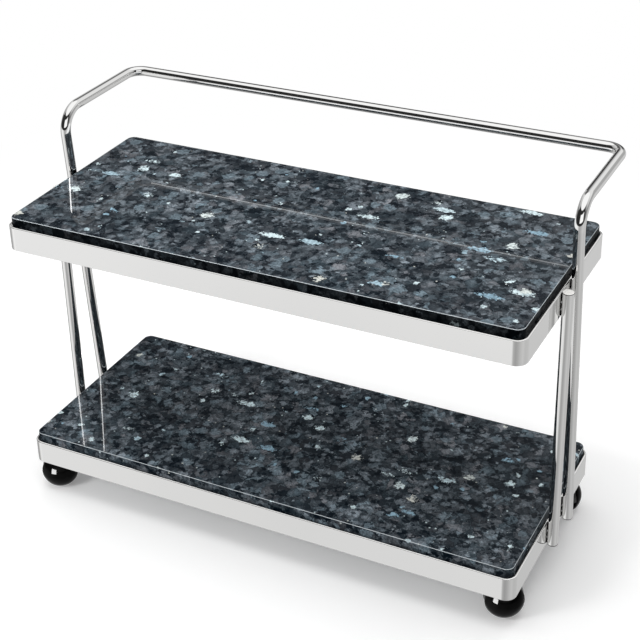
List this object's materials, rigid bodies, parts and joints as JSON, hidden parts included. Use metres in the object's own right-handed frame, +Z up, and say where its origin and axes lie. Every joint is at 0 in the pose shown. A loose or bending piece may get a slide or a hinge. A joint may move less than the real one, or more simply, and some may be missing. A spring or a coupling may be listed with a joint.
{
  "type": "rolling display cart",
  "caption": "Two-tier serving trolley: polished dark stone shelves in chromed flat-bar hoops, tube legs, a rear push handle and black ball casters.",
  "frame": {"origin": "on the floor, below the middle of the whole outline, where the wheels touch the floor at z = 0", "axes": "+X along the shelves to the right of someone facing the front, +Y from the front towards the push handle, +Z up"},
  "size_m": [0.8422, 0.392, 0.5966],
  "materials": {
    "chrome": "polished chrome plate on steel, mirror bright",
    "stone": "polished blue-black crystalline granite with bright blue and pale flecks",
    "zinc_steel": "bright zinc-plated steel, satin",
    "screw_steel": "stainless steel, satin",
    "rubber": "matt black rubber",
    "black_plastic": "moulded black nylon, satin",
    "ball_plastic": "glossy moulded black plastic",
    "bush_brass": "turned brass, satin"
  },
  "bodies": {
    "root": {"lower_hoop": "chrome", "lower_slab": "stone", "lower_rail_left": "zinc_steel", "lower_rail_centre": "zinc_steel", "lower_rail_right": "zinc_steel", "lower_slab_pads": "rubber", "lower_edge_bumpers": "rubber", "lower_tube_slugs": "zinc_steel", "lower_tube_screws": "screw_steel", "lower_screw_washers": "screw_steel", "upper_hoop": "chrome", "upper_slab": "stone", "upper_rail_left": "zinc_steel", "upper_rail_centre": "zinc_steel", "upper_rail_right": "zinc_steel", "upper_slab_pads": "rubber", "upper_edge_bumpers": "rubber", "upper_tube_slugs": "zinc_steel", "upper_tube_screws": "screw_steel", "upper_screw_washers": "screw_steel", "left_front_leg": "chrome", "right_front_leg": "chrome", "left_leg_cap": "chrome", "right_leg_cap": "chrome", "handle_tube": "chrome", "foot_plugs": "black_plastic", "front_left_corner_plate": "zinc_steel", "front_left_caster_stem": "zinc_steel", "front_right_corner_plate": "zinc_steel", "front_right_caster_stem": "zinc_steel", "rear_left_corner_plate": "zinc_steel", "rear_left_caster_stem": "zinc_steel", "rear_right_corner_plate": "zinc_steel", "rear_right_caster_stem": "zinc_steel", "stem_clips": "screw_steel", "caster_washers": "screw_steel", "caster_nuts": "screw_steel"},
    "front_left_swivel": {"front_left_swivel_bush": "bush_brass", "front_left_caster_body": "black_plastic"},
    "front_left_wheels": {"front_left_axle": "zinc_steel", "front_left_wheel_left": "ball_plastic", "front_left_wheel_right": "ball_plastic"},
    "front_right_swivel": {"front_right_swivel_bush": "bush_brass", "front_right_caster_body": "black_plastic"},
    "front_right_wheels": {"front_right_axle": "zinc_steel", "front_right_wheel_left": "ball_plastic", "front_right_wheel_right": "ball_plastic"},
    "rear_left_swivel": {"rear_left_swivel_bush": "bush_brass", "rear_left_caster_body": "black_plastic"},
    "rear_left_wheels": {"rear_left_axle": "zinc_steel", "rear_left_wheel_left": "ball_plastic", "rear_left_wheel_right": "ball_plastic"},
    "rear_right_swivel": {"rear_right_swivel_bush": "bush_brass", "rear_right_caster_body": "black_plastic"},
    "rear_right_wheels": {"rear_right_axle": "zinc_steel", "rear_right_wheel_left": "ball_plastic", "rear_right_wheel_right": "ball_plastic"}
  },
  "joints": [
    {"name": "front_left_swivel_turn", "type": "hinge", "parent": "root", "child": "front_left_swivel", "pos_m": [-0.37, -0.161, 0.06162], "axis": [0, 0, 1], "continuous": true},
    {"name": "front_left_wheel_spin", "type": "hinge", "parent": "front_left_swivel", "child": "front_left_wheels", "pos_m": [-0.37875, -0.16585, 0.02862], "axis": [0.4848, -0.8746, 0], "continuous": true},
    {"name": "front_right_swivel_turn", "type": "hinge", "parent": "root", "child": "front_right_swivel", "pos_m": [0.37, -0.161, 0.06162], "axis": [0, 0, 1], "continuous": true},
    {"name": "front_right_wheel_spin", "type": "hinge", "parent": "front_right_swivel", "child": "front_right_wheels", "pos_m": [0.37875, -0.15615, 0.02862], "axis": [-0.4848, 0.8746, 0], "continuous": true},
    {"name": "rear_left_swivel_turn", "type": "hinge", "parent": "root", "child": "rear_left_swivel", "pos_m": [-0.37, 0.114, 0.06162], "axis": [0, 0, 1], "continuous": true},
    {"name": "rear_left_wheel_spin", "type": "hinge", "parent": "rear_left_swivel", "child": "rear_left_wheels", "pos_m": [-0.3794, 0.11742, 0.02862], "axis": [-0.342, -0.9397, 0], "continuous": true},
    {"name": "rear_right_swivel_turn", "type": "hinge", "parent": "root", "child": "rear_right_swivel", "pos_m": [0.37, 0.114, 0.06162], "axis": [0, 0, 1], "continuous": true},
    {"name": "rear_right_wheel_spin", "type": "hinge", "parent": "rear_right_swivel", "child": "rear_right_wheels", "pos_m": [0.37819, 0.10826, 0.02862], "axis": [0.5736, 0.8192, 0], "continuous": true}
  ]
}
